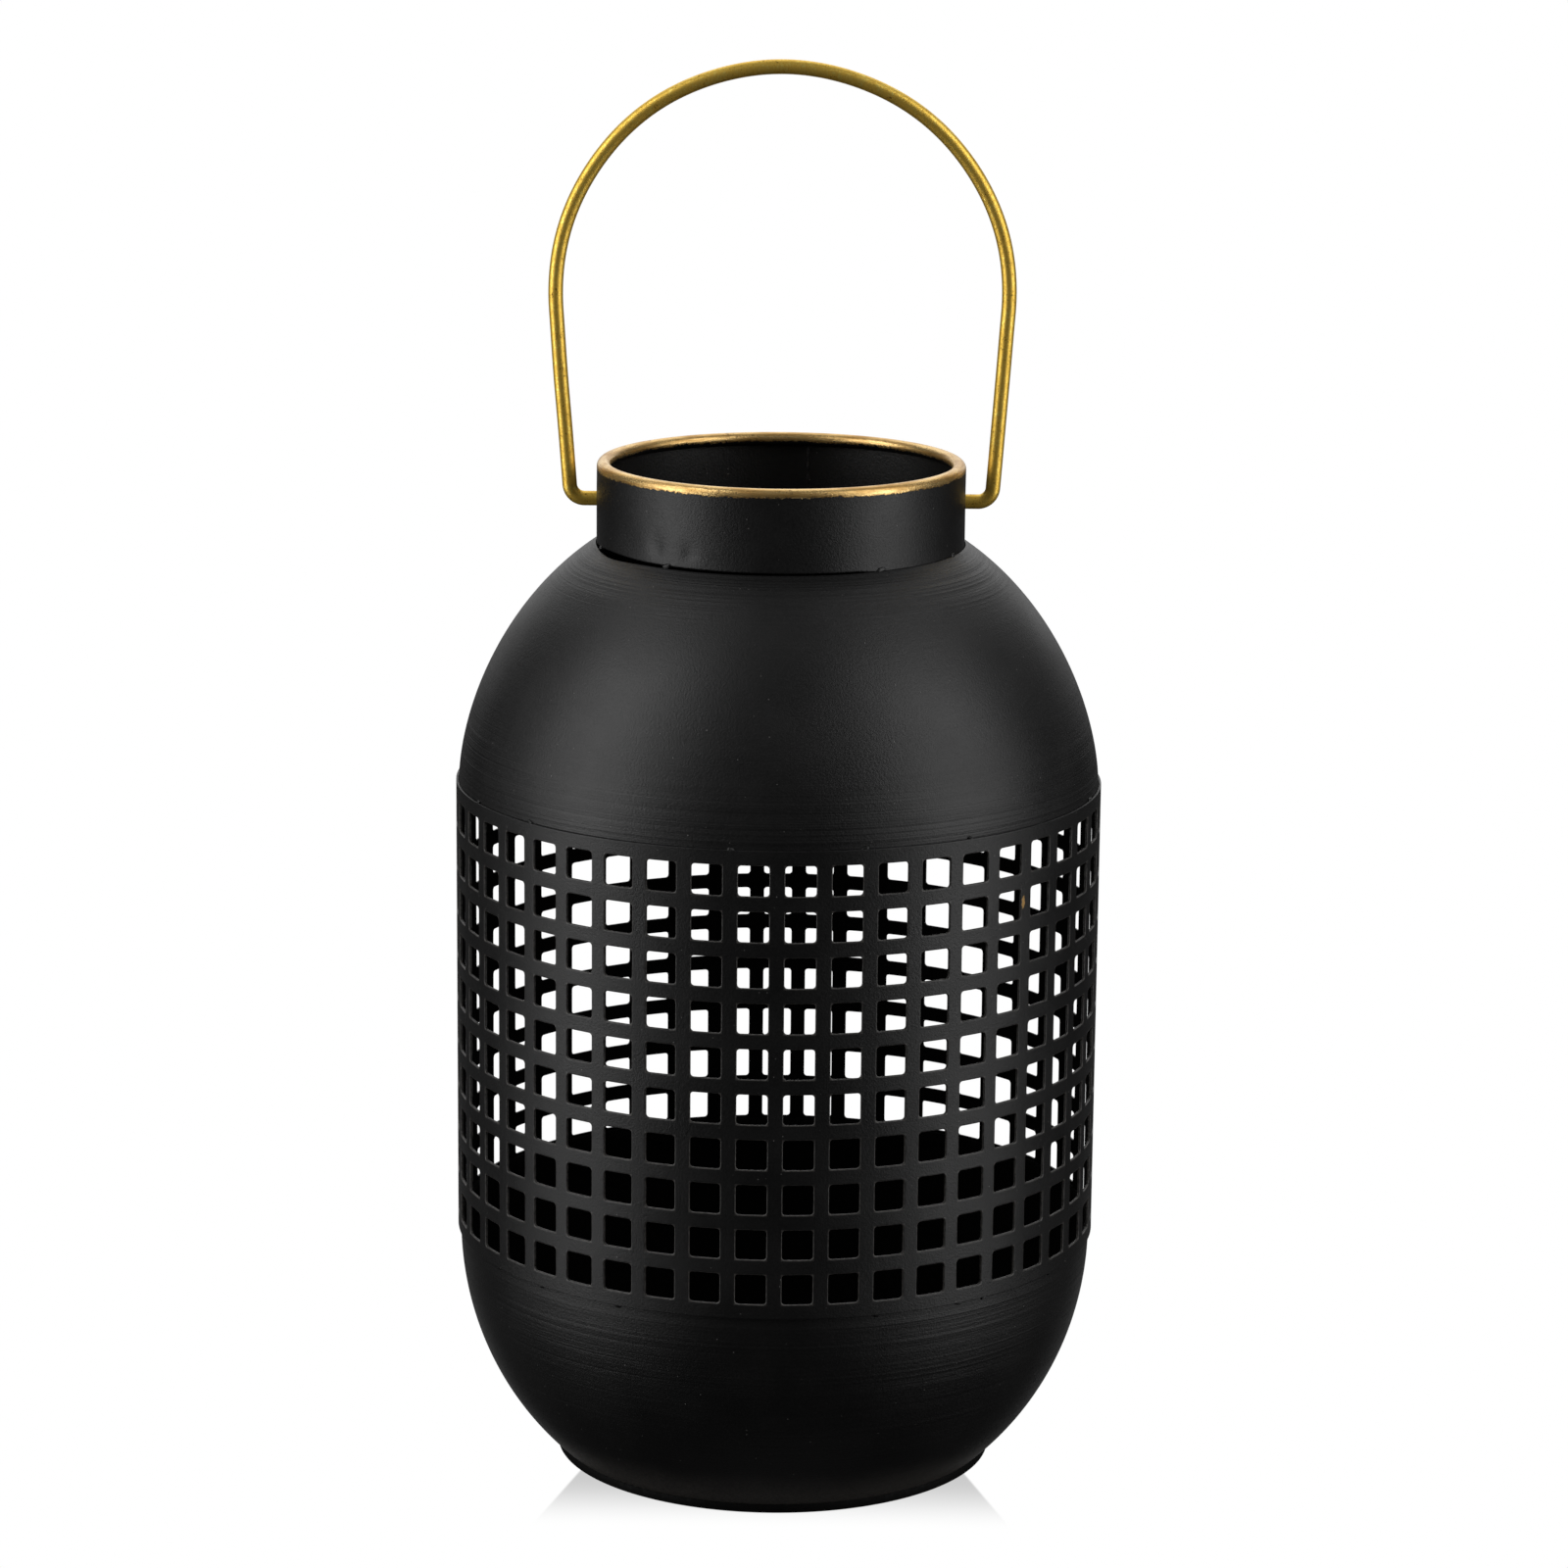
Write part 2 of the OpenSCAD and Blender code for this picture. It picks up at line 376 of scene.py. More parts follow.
def bowl_coat(name):
    """Paler just above the foot, which stands in for light thrown up by the table."""
    g = Graph(name)
    z = g.split()[2]
    mask = g.ramp(z, FOOT_H + 6 * MM, FOOT_H + 26 * MM, 0.15, 0.62)
    colour, rough, normal = coat_nodes(g, mask)
    uneven = g.math("MULTIPLY_ADD", g.noise(70, 3, 0.6), 6 * MM, -3 * MM)
    pale = g.ramp(g.math("ADD", z, uneven), FOOT_H + 1 * MM, FOOT_H + 17 * MM, 1.0, 0.0)
    pale = g.math("MULTIPLY", pale, g.ramp(g.noise(1100, 3, 0.7), 0.30, 0.68, 0.35, 1.0))
    return finish_coat(g, g.mix(pale, colour, PALE_FOOT), rough, normal)


def hole_edge(g, x, y, z):
    """One along the edges of the band's holes, and nothing elsewhere."""
    turn = g.math("ARCTAN2", x, g.math("MULTIPLY", y, -1.0))
    column = g.math("FRACT", g.math("MULTIPLY_ADD", turn, COLUMNS / (2 * math.pi), COLUMNS))
    row = g.math("FRACT", g.math("MULTIPLY_ADD", z, 1 / PITCH, ROWS - BAND_MIDDLE / PITCH))
    aside = [g.math("ABSOLUTE", g.math("SUBTRACT", s, 0.5)) for s in (column, row)]
    reach = g.math("MULTIPLY", g.math("MAXIMUM", *aside), PITCH)
    from_middle = g.math("ABSOLUTE", g.math("SUBTRACT", z, BAND_MIDDLE))
    inside_rows = g.math("LESS_THAN", from_middle, ROWS * PITCH / 2)
    return g.math("MULTIPLY", g.ramp(reach, HOLE_HALF + BEVEL * 0.55, HOLE_HALF + BEVEL * 1.05, 1.0, 0.0),
                  inside_rows)


def band_coat(name):
    """The coat on the band, paler at the holes' edges, partly as wear and partly as a painted highlight on
    the bevels, with one small fleck of stray gold paint.
    """
    g = Graph(name)
    colour, rough, normal = coat_nodes(g)
    fleck_turn = math.radians(47.3)
    fleck_x, fleck_z = BAND_R * math.sin(fleck_turn), BAND_TOP - 24.5 * MM
    x, y, z = g.split()
    across = g.math("DIVIDE", g.math("SUBTRACT", x, fleck_x), 0.55 * MM)
    along = g.math("DIVIDE", g.math("SUBTRACT", z, fleck_z), 2.1 * MM)
    far = g.math("ADD", g.math("MULTIPLY", across, across), g.math("MULTIPLY", along, along))
    ragged = g.math("MULTIPLY_ADD", g.noise(1300, 3, 0.7), 3.2, -1.6)
    on_fleck = g.math("LESS_THAN", g.math("ADD", far, ragged), 0.9)
    fleck = g.math("MULTIPLY", on_fleck, g.math("LESS_THAN", y, 0.0))
    # Paler hole edges: partly wear, partly a painted highlight on the bevels.
    worn = g.math("MULTIPLY", hole_edge(g, x, y, z), g.ramp(g.noise(1000, 3, 0.7), 0.34, 0.62, 0.25, 1.0))
    colour = g.mix(worn, colour, EDGE_WEAR_AND_SHEEN)
    rough = g.math("SUBTRACT", rough, g.math("MULTIPLY", worn, 0.08))
    colour = g.mix(fleck, colour, STRAY_GOLD)
    return finish_coat(g, colour, rough, normal)


def rim_material(name, paint_edge):
    """The collar: black coat, with pale gold paint brushed over the curl down to paint_edge."""
    g = Graph(name)
    colour, rough, normal = coat_nodes(g)
    z = g.split()[2]
    ragged = g.math("ADD",
                    g.math("MULTIPLY_ADD", g.noise(110, 2, 0.5), 1.2 * MM, -0.6 * MM),
                    g.math("MULTIPLY_ADD", g.noise(800, 4, 0.75), 2.2 * MM, -1.1 * MM))
    level = g.math("SUBTRACT", g.math("ADD", z, ragged), paint_edge)
    paint = g.ramp(level, -0.04 * MM, 0.04 * MM)
    stroke = g.noise(1.0, 4, 0.65, g.stretched(70, 70, 1000))
    worn = g.noise(520, 4, 0.7)
    gold = g.mix(g.ramp(stroke, 0.3, 0.72), RIM_DEEP, RIM_PALE)
    gold = g.mix(g.ramp(worn, 0.60, 0.70), gold, RIM_WORN)
    thin = g.ramp(level, 0.05 * MM, 0.7 * MM, 0.85, 0.0)
    gold = g.mix(g.math("MULTIPLY", thin, g.ramp(g.noise(900, 3), 0.35, 0.6)), gold, RIM_THIN)
    gold_rough = g.ramp(stroke, 0.3, 0.7, 0.36, 0.24)
    rough = g.math("ADD", g.math("MULTIPLY", rough, g.math("SUBTRACT", 1.0, paint)),
                   g.math("MULTIPLY", gold_rough, paint))
    g.put(g.math("MULTIPLY", paint, 0.8), g.shader.inputs["Metallic"])
    normal = g.bump(g.math("MULTIPLY", stroke, paint), 0.35, 0.1 * MM, normal)
    normal = g.bump(paint, 0.6, 0.08 * MM, normal)
    return finish_coat(g, g.mix(paint, colour, gold), rough, normal)


def antique_gold(name):
    """Rubbed gold paint on the bail: yellow, with fine brown mottling."""
    g = Graph(name)
    speck = g.noise(1500, 4, 0.7)
    patch = g.noise(260, 4, 0.6)
    streak = g.noise(1.0, 4, 0.7, g.stretched(1300, 1300, 260))
    tone = g.math("ADD", g.math("MULTIPLY", speck, 0.50),
                  g.math("ADD", g.math("MULTIPLY", patch, 0.25), g.math("MULTIPLY", streak, 0.25)))
    colour = g.mix(g.ramp(tone, 0.36, 0.455), BAIL_BROWN, BAIL_GOLD)
    colour = g.mix(g.ramp(tone, 0.50, 0.62), colour, BAIL_BRIGHT)
    g.shader.inputs["Metallic"].default_value = 0.88
    fine = g.bump(tone, 0.5, 0.12 * MM)
    normal = g.bump(g.noise(420, 2), 0.4, 0.2 * MM, fine)
    return finish_coat(g, colour, g.ramp(tone, 0.36, 0.62, 0.52, 0.40), normal)


def bare_steel(name):
    g = Graph(name)
    stain = g.noise(300, 3)
    g.shader.inputs["Metallic"].default_value = 1.0
    return finish_coat(g, g.mix(g.ramp(stain, 0.4, 0.7), STEEL, STEEL_STAIN),
                       g.ramp(stain, 0.3, 0.7, 0.30, 0.55), g.bump(g.noise(1200, 2), 0.3, 0.05 * MM))


# ---------------------------------------------------------------- the spun shells

EDGE = 0.25 * MM
NECK_PLAY = 0.05 * MM
SAG_REACH, SAG_OUT, SAG_DOWN = 2.4 * MM, 0.9 * MM, 1.0 * MM


def dome_outline():
    """Closed outline of the shoulder dome, with a rounded lip at the neck opening."""
    hole_r = NECK_R + NECK_PLAY
    turn = turn_at_radius(hole_r, SHELL_R, DOME_SIDE)
    rise = (dome_high.z - BAND_TOP) / math.sin(turn) ** (2 / DOME_CROWN)
    outer = superellipse(SHELL_R, rise, DOME_SIDE, DOME_CROWN, turn, 150)
    inner_turn = turn_at_radius(hole_r, SHELL_R - SHEET, DOME_SIDE)
    inner = superellipse(SHELL_R - SHEET, rise - SHEET, DOME_SIDE, DOME_CROWN, inner_turn, 70)
    low = -SKIRT_H
    outline = spaced((SHELL_R, low), (SHELL_R, 0), 3)
    outline += [tuple(p) for p in outer[:-1]]
    outline += [tuple(outer[-1] + np.array((EDGE, -EDGE * 0.6))), tuple(outer[-1] + np.array((0, -EDGE)))]
    outline += [tuple(p) for p in inner[::-1]]
    outline += spaced((SHELL_R - SHEET, 0), (SHELL_R - SHEET, low), 3)[1:] + [(SHELL_R - SHEET, low)]
    return [(r, BAND_TOP + h) for r, h in outline]


# Where the neck joint stands open: degrees round from the front, share, width in radians
GAPS = ((-64, 1.0, 0.24), (-36, 0.34, 0.42), (8, 0.20, 0.60))


def neck_gap(aa):
    """How far the neck joint stands open round the axis: widest at the left, a sliver in front."""
    return sum(share * smooth_bump(wrapped(aa, math.radians(angle)), 0, width)
               for angle, share, width in GAPS)


def dome_warp(rr, aa, zz):
    """The opening's edge sinks away from the collar where the joint stands open."""
    near = smooth_bump(zz, dome_high.z, SAG_REACH) * neck_gap(aa)
    return rr + near * SAG_OUT, zz - near * SAG_DOWN


def bowl_outline():
    """Closed outline of the lower bowl, from the skirt down and across the flat floor."""
    depth = BAND_BOTTOM - FOOT_H
    turn = turn_at_radius(FOOT_R, SHELL_R, BOWL_SIDE)
    drop = depth / math.sin(turn) ** (2 / BOWL_CROWN)
    outer = superellipse(SHELL_R, drop, BOWL_SIDE, BOWL_CROWN, turn, 150)
    inner_turn = turn_at_height(depth - SHEET, drop - SHEET, BOWL_CROWN)
    inner = superellipse(SHELL_R - SHEET, drop - SHEET, BOWL_SIDE, BOWL_CROWN, inner_turn, 80)
    outline = spaced((SHELL_R, -SKIRT_H), (SHELL_R, 0), 3)
    outline += [tuple(p) for p in outer]
    outline += spaced((FOOT_R - EDGE, depth), (0, depth), 24) + [(0, depth)]
    outline += spaced((0, depth - SHEET), tuple(inner[-1]), 24)
    outline += [tuple(p) for p in inner[::-1]]
    outline += [(SHELL_R - SHEET, -SKIRT_H)]
    return [(r, BAND_BOTTOM - h) for r, h in outline]


def foot_outline():
    inner = FOOT_R - SHEET
    return [(FOOT_R - EDGE, 0), (FOOT_R - EDGE * 0.3, EDGE * 0.3), (FOOT_R, EDGE), (FOOT_R, FOOT_H * 0.5),
            (FOOT_R, FOOT_H - EDGE * 0.4), (FOOT_R - EDGE * 0.4, FOOT_H),
            (inner, FOOT_H), (inner, FOOT_H * 0.5), (inner, EDGE), (inner + EDGE, 0)]


# ---------------------------------------------------------------- the collar

CURL_PLAY = 0.02 * MM
CURL_TAIL = -62
HEM_H = 9 * MM
HEM_LIFT = 0.5 * MM
OPEN_FROM = 0.16
WALL_WAVER = 0.05 * MM

# Dents: degrees round from the front, height over the neck joint, width in radians,
# half height, depth
DENTS = ((-41, 5 * MM, 0.050, 4.5 * MM, 0.42 * MM),
         (-29, 4 * MM, 0.045, 4.0 * MM, 0.38 * MM),
         (-55, 7 * MM, 0.10, 6.0 * MM, 0.18 * MM))


def collar_outline():
    """Closed outline of the collar: wall, inward curl round the wire, and back down inside."""
    low = collar_low.z
    inner_r = NECK_R - SHEET
    tube = (wire_high.z - wire_low.z) / 2 + CURL_PLAY
    outline = spaced((NECK_R, low + EDGE), (NECK_R, CURL_CENTRE[1]), 40)
    outline += arc(CURL_CENTRE, CURL_R, 0, 360 + CURL_TAIL, 60)
    outline += arc(CURL_CENTRE, tube, 360 + CURL_TAIL, 30, 40)
    outline += spaced((inner_r, CURL_CENTRE[1] - tube * 0.2), (inner_r, low + EDGE), 40)
    outline += [(inner_r + EDGE * 0.5, low), (NECK_R - EDGE * 0.5, low)]
    return outline


def collar_warp(rr, aa, zz):
    """Shallow dents low on the front left, a faint waver of the rolled wall, and the lower
    edge lifted off the dome where the neck joint stands open."""
    below = np.clip((CURL_CENTRE[1] - 2 * MM - zz) / (6 * MM), 0, 1)
    for angle, height, width, tall, deep in DENTS:
        spot = smooth_bump(wrapped(aa, math.radians(angle)), 0, width)
        spot = spot * smooth_bump(zz, dome_high.z + height, tall)
        rr = rr - below * spot * deep
    rr = rr + below * WALL_WAVER * (np.sin(3 * aa + 1.0) + 0.6 * np.sin(7 * aa))
    gap = neck_gap(aa)
    lift = (dome_high.z - collar_low.z + HEM_LIFT * gap) * np.clip(gap / OPEN_FROM, 0, 1)
    return rr, zz + lift * np.clip((collar_low.z + HEM_H - zz) / HEM_H, 0, 1)


def cut_pivot_holes(obj):
    """Drills the two holes that the bail's ends turn in."""
    bpy.ops.mesh.primitive_cylinder_add(vertices=48, radius=BAIL_WIRE + PIVOT_PLAY, depth=2.4 * NECK_R,
                                        location=(0, 0, PIVOT_Z), rotation=(0, math.pi / 2, 0))
    drill = bpy.context.object
    cut = obj.modifiers.new("pivot", "BOOLEAN")
    cut.operation, cut.object, cut.solver = "DIFFERENCE", drill, "EXACT"
    with bpy.context.temp_override(object=obj, active_object=obj):
        bpy.ops.object.modifier_apply(modifier=cut.name)
    bpy.data.objects.remove(drill)


# ---------------------------------------------------------------- the perforated band

INNER_BEVEL = 0.12 * MM
LIP = 0.18 * MM
SUPPORT = 0.2 * MM
HOLE_FLAT = 0.22 * MM
STRAIGHT_STEPS, CORNER_STEPS = 5, 4


def hole_contour(offset):
    """Points round one hole whose sides are moved out by offset, and those of its cell."""
    c = HOLE_HALF - HOLE_CORNER
    radius = HOLE_CORNER + offset
    half = PITCH / 2
    hole, cell = [], []
    for quarter in range(4):
        turn = np.array([[math.cos(quarter * math.pi / 2), -math.sin(quarter * math.pi / 2)],
                         [math.sin(quarter * math.pi / 2), math.cos(quarter * math.pi / 2)]])
        for k in range(STRAIGHT_STEPS):
            along = -c + 2 * c * k / STRAIGHT_STEPS
            hole.append(turn @ (c + radius, along))
            cell.append(turn @ (half, along))
        for k in range(CORNER_STEPS):
            t = k / CORNER_STEPS
            a = t * math.pi / 2
            hole.append(turn @ (c + radius * math.cos(a), c + radius * math.sin(a)))
            reach = half - c
            edge = (half, c + 2 * t * reach) if t <= 0.5 else (half - (2 * t - 1) * reach, half)
            cell.append(turn @ edge)
    return np.array(hole), np.array(cell)


def band_rings():
    """One cell's rings of points, from the outer face through the hole to the inner face."""
    def ring(flat, depth):
        return np.column_stack([flat, np.full(len(flat), -depth)])
    _, cell = hole_contour(0)
    near, _ = hole_contour(BEVEL + HOLE_FLAT)
    rings = [ring(cell, 0), ring((cell + near) / 2, 0), ring(near, 0)]
    for k in range(4):
        a = k * math.pi / 6
        rings.append(ring(hole_contour(BEVEL * (1 - math.sin(a)))[0], BEVEL * (1 - math.cos(a))))
    rings.append(ring(hole_contour(0)[0], SHEET - INNER_BEVEL))
    rings.append(ring(hole_contour(INNER_BEVEL)[0], SHEET))
    rings.append(ring(hole_contour(INNER_BEVEL + SUPPORT)[0], SHEET))
    rings.append(ring(cell, SHEET))
    return np.array(rings)


def band_margin(columns_u):
    """Points of the solid strip above the top row, in rings from outer to inner face."""
    start = ROWS * PITCH / 2
    top = (BAND_TOP - BAND_BOTTOM) / 2
    profile = [(start, 0), (top - LIP - SUPPORT, 0), (top - LIP, 0)]
    profile += [(top - LIP * (1 - math.sin(a)), LIP * (1 - math.cos(a))) for a in np.radians((30, 60, 90))]
    profile += [(top, LIP + SUPPORT), (top, SHEET - INNER_BEVEL), (top - INNER_BEVEL, SHEET),
                (top - INNER_BEVEL - SUPPORT, SHEET), (start, SHEET)]
    return np.array([[(u, v, -w) for u in columns_u] for v, w in profile])


def grid_faces(rings, around, base, closed):
    """Quads between rings of points, numbered from base."""
    i = np.arange(rings - 1)[:, None]
    j = np.arange(around if closed else around - 1)[None, :]
    j2 = (j + 1) % around
    quads = np.stack([i * around + j, i * around + j2, (i + 1) * around + j2, (i + 1) * around + j], -1)
    return base + quads.reshape(-1, 4)


def band_mesh():
    """The whole band: 450 cells and two margins, laid flat, rolled up and merged."""
    rings = band_rings()
    count, around, _ = rings.shape
    parts, faces, base = [], [], 0
    for column in range(COLUMNS):
        for row in range(ROWS):
            shift = ((column + 0.5) * PITCH, (row - (ROWS - 1) / 2) * PITCH, 0)
            parts.append(rings.reshape(-1, 3) + shift)
            faces.append(grid_faces(count, around, base, True))
            base += count * around
    cell_u = sorted({round(float(u), 9) for u, v in hole_contour(0)[1] if abs(v - PITCH / 2) < 1e-9})
    all_u = sorted({round(u + (column + 0.5) * PITCH, 8) for column in range(COLUMNS) for u in cell_u})
    strip = band_margin(all_u)
    for side in (1, -1):
        parts.append(strip.reshape(-1, 3) * (1, side, 1))
        quads = grid_faces(strip.shape[0], strip.shape[1], base, False)
        faces.append(quads if side == 1 else quads[:, ::-1])
        base += strip.shape[0] * strip.shape[1]
    flat, faces = np.concatenate(parts), np.concatenate(faces)
    angle = flat[:, 0] / (COLUMNS * PITCH) * 2 * math.pi
    radius = BAND_R + flat[:, 2]
    height = BAND_MIDDLE + flat[:, 1]
    verts = np.stack([radius * np.sin(angle), -radius * np.cos(angle), height], 1)
    _, first, back = np.unique(np.round(verts / 1e-7).astype(np.int64), axis=0,
                               return_index=True, return_inverse=True)
    return verts[first], back.reshape(-1)[faces]


# ---------------------------------------------------------------- the bail

def bail_half():
    """Centre, direction and wire radius from the right-hand head up to the crown of the arc."""
    lean = BAIL_LEAN
    leg_x = BAIL_ARC_R * math.cos(lean)
    leg_z = BAIL_ARC_H - BAIL_ARC_R * math.sin(lean)
    bend_x = leg_x - leg_z * math.tan(lean) - BAIL_BEND_R * math.tan((math.pi / 2 - lean) / 2)
    head_out = NECK_R - SHEET - 0.6 * MM
    head_in = head_out - 1.8 * MM
    head = [(0.00, 0.4), (0.00, 2.5), (0.15, 3.05), (0.5, 3.4), (1.3, 3.4), (1.7, 3.0), (1.8, 2.42)]
    half = [(head_in + x * MM, 0, 0, r * MM) for x, r in head]
    half += [(x, 0, 0, BAIL_WIRE) for x in np.linspace(head_out, bend_x, 14)[1:-1]]
    for a in np.linspace(0, math.pi / 2 - lean, 18):
        half.append((bend_x + BAIL_BEND_R * math.sin(a), BAIL_BEND_R * (1 - math.cos(a)), a, BAIL_WIRE))
    start = half[-1]
    for t in np.linspace(0, 1, 40)[1:]:
        half.append((start[0] + (leg_x - start[0]) * t, start[1] + (leg_z - start[1]) * t,
                     math.pi / 2 - lean, BAIL_WIRE))
    for a in np.linspace(-lean, math.pi / 2, 90)[1:]:
        half.append((BAIL_ARC_R * math.cos(a), BAIL_ARC_H + BAIL_ARC_R * math.sin(a),
                     a + math.pi / 2, BAIL_WIRE))
    return np.array(half)


def bail_mesh(sides=32):
    """The bent wire, with the slight waver of a hand-bent bar."""
    half = bail_half()
    right = half[::-1][1:]
    x = np.concatenate([-half[:, 0], right[:, 0]])
    z = np.concatenate([half[:, 1], right[:, 1]])
    radius = np.concatenate([half[:, 3], right[:, 3]])
    normal = np.concatenate([np.stack([-np.sin(half[:, 2]), -np.cos(half[:, 2])], 1),
                             np.stack([np.sin(right[:, 2]), -np.cos(right[:, 2])], 1)])
    along = np.concatenate([[0], np.cumsum(np.hypot(np.diff(x), np.diff(z)))])
    free = np.clip((z - 8 * MM) / (30 * MM), 0, 1)
    waver = free * 0.10 * MM * (np.sin(along * 52) + 0.6 * np.sin(along * 131 + 1))
    sway = free * 0.25 * MM * np.sin(along * 23 + 0.5)
    leant = x - 0.4 * MM * free * np.clip(z / (BAIL_ARC_H + BAIL_ARC_R), 0, 1)
    turn = np.linspace(0, 2 * math.pi, sides, endpoint=False)
    out = radius[:, None] * np.cos(turn)[None, :] + waver[:, None]
    verts = np.stack([leant[:, None] + normal[:, :1] * out,
                      sway[:, None] + radius[:, None] * np.sin(turn)[None, :],
                      PIVOT_Z + z[:, None] + normal[:, 1:] * out], -1).reshape(-1, 3)
    faces = [tuple(f) for f in grid_faces(len(x), sides, 0, True)]
    faces.append(tuple(range(sides))[::-1])
    faces.append(tuple(range((len(x) - 1) * sides, len(x) * sides)))
    return verts, faces


# ---------------------------------------------------------------- welds

def islands(node):
    """Centres of the separate solids of a CAD node."""
    mesh = frame["nodes"][node].data
    parent = list(range(len(mesh.vertices)))
    keys = {}

    def root(i):
        while parent[i] != i:
            parent[i] = parent[parent[i]]
            i = parent[i]
        return i
    for i, v in enumerate(mesh.vertices):
        key = tuple(round(c, 6) for c in v.co)
        parent[root(i)] = root(keys.setdefault(key, i))
    for e in mesh.edges:
        parent[root(e.vertices[0])] = root(e.vertices[1])
    groups = {}
    for i, v in enumerate(mesh.vertices):
        groups.setdefault(root(i), []).append(v.co)
    return [(Vector(map(min, zip(*g))) + Vector(map(max, zip(*g)))) / 2 for g in groups.values()]


def tack_blobs(node, wide, flat):
    """A lumpy little weld at each tack of a node, drawn out along the joint."""
    verts, faces = [], []
    rows, cols = 12, 18
    for centre in islands(node):
        angle = math.atan2(centre.x, -centre.y)
        out = Vector((math.sin(angle), -math.cos(angle), 0))
        along = Vector((math.cos(angle), math.sin(angle), 0))
        up = Vector((0, 0, 1))
        stretch, tilt = rng.uniform(0.9, 1.5), rng.uniform(-0.3, 0.3)
        lumps = rng.uniform(0, 2 * math.pi, 3)
        base = len(verts)
        for i in range(rows + 1):
            lat = math.pi * i / rows - math.pi / 2
            for j in range(cols):
                lon = 2 * math.pi * j / cols
                bump = 1 + 0.12 * math.sin(3 * lon + lumps[0]) * math.cos(lat)
                bump += 0.08 * math.sin(5 * lat + lumps[1])
                a = math.cos(lat) * math.cos(lon) * wide * stretch * bump
                b = math.cos(lat) * math.sin(lon) * flat * bump
                c = math.sin(lat) * wide * 0.7 * bump + tilt * a
                verts.append(centre + along * a + out * b + up * c)
        for i in range(rows):
            for j in range(cols):
                j2 = (j + 1) % cols
                faces.append((base + i * cols + j, base + i * cols + j2,
                              base + (i + 1) * cols + j2, base + (i + 1) * cols + j))
    return verts, faces


BEAD_STEP, BEAD_RIPPLE, BEAD_H = 0.25 * MM, 1.1 * MM, 0.62 * MM


def seam_bead(node, wide, ripple):
    """An upright weld bead with the ripples of a hand weld."""
    low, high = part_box(node)
    centre = (low + high) / 2
    angle = math.atan2(centre.x, -centre.y)
    out = Vector((math.sin(angle), -math.cos(angle), 0))
    along = Vector((math.cos(angle), math.sin(angle), 0))
    length = high.z - low.z
    count, sides = int(length / BEAD_STEP), 16
    verts = []
    for i in range(count + 1):
        t = i / count
        swell = 1 + ripple * math.sin(t * length / BEAD_RIPPLE * 2 * math.pi) + 0.1 * math.sin(t * 37)
        swell *= min(1, 0.3 + min(t, 1 - t) * length / (1 * MM))
        for j in range(sides):
            a = 2 * math.pi * j / sides
            side = along * (wide * swell * math.cos(a)) + out * (BEAD_H * swell * math.sin(a))
            verts.append(centre + side + Vector((0, 0, low.z + t * length - centre.z)))
    faces = [tuple(f) for f in grid_faces(count + 1, sides, 0, True)]
    faces += [tuple(range(sides))[::-1], tuple(range(count * sides, (count + 1) * sides))]
    return verts, faces


# ---------------------------------------------------------------- assembly

PAINT_DEPTH = 2.8 * MM


def piece(name, mesh, material, body, slot, *nodes):
    """Makes a piece that stands for CAD nodes and rides on a body."""
    obj = new_object(name, mesh[0], mesh[1], material)
    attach(obj, body)
    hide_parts(*nodes)
    return obj


def line_inside(obj, material, floor=False):
    """Gives the inner faces, which look towards the axis, a second material."""
    obj.data.materials.append(material)
    for face in obj.data.polygons:
        out = face.center.to_2d().normalized().dot(face.normal.to_2d())
        if out < -0.2 or (floor and face.normal.z > 0.5):
            face.material_index = 1


def build_lantern():
    plain = plain_coat("black_coat")
    # The inner coat's darker colour is painted shade.
    inner = shaded_inner_coat("shaded_inner_coat")
    rim = rim_material("collar_coat", RIM_TOP - PAINT_DEPTH)
    dome = piece("dome_skin", turned(dome_outline(), dome_warp), dome_coat("dome_black_coat"),
                 "lantern", "black_coat", "shoulder_dome")
    bowl = piece("bowl_skin", turned(bowl_outline()), bowl_coat("bowl_black_coat"),
                 "lantern", "black_coat", "lower_bowl")
    # The foot's coat is darker as painted shadow.
    piece("foot_hoop", turned(foot_outline()), shadowed_foot_coat("foot_shadow_black_coat"),
          "lantern", "black_coat", "foot_ring")
    band = piece("band_skin", band_mesh(), band_coat("band_black_coat"),
                 "lantern", "black_coat", "perforated_band")
    collar = piece("collar_skin", turned(collar_outline(), collar_warp), rim,
                   "lantern", "rim_paint", "neck_collar")
    cut_pivot_holes(collar)
    # Faces looking towards the axis get the inner coat: painted shade inside the lantern.
    line_inside(dome, inner)
    line_inside(band, inner)
    line_inside(bowl, inner, floor=True)
    for node, wide, flat in (("top_joint_tacks", 1.1, 0.75), ("bottom_joint_tacks", 1.1, 0.75),
                             ("neck_tacks", 1.2, 0.7), ("foot_tacks", 1.1, 0.8)):
        piece(node.replace("tacks", "welds"), tack_blobs(node, wide * MM, flat * MM), plain,
              "lantern", "coated_weld", node)
    seam = piece("band_seam_bead", seam_bead("band_seam_weld", 0.72 * MM, 0.04), plain,
                 "lantern", "coated_weld", "band_seam_weld")
    # The seam's inner face gets the painted-shade inner coat too.
    line_inside(seam, inner)
    piece("collar_seam_bead", seam_bead("collar_seam_weld", 0.6 * MM, 0.06), plain,
          "lantern", "coated_weld", "collar_seam_weld")
    frame["nodes"]["rim_wire"].data.materials.clear()
    frame["nodes"]["rim_wire"].data.materials.append(bare_steel("rim_wire_steel"))


def build_bail():
    piece("bail_wire", bail_mesh(), antique_gold("antique_gold_paint"),
          "bail", "antique_gold", "bail_handle")


# ---------------------------------------------------------------- stage, light and camera

CAMERA_DISTANCE = 1.719
CAMERA_PITCH = math.radians(12.79)
CAMERA_ROLL = math.radians(0.53)
LOOK_SIDE, LOOK_HEIGHT = 0.0018, 0.2309
LENS = 117.7


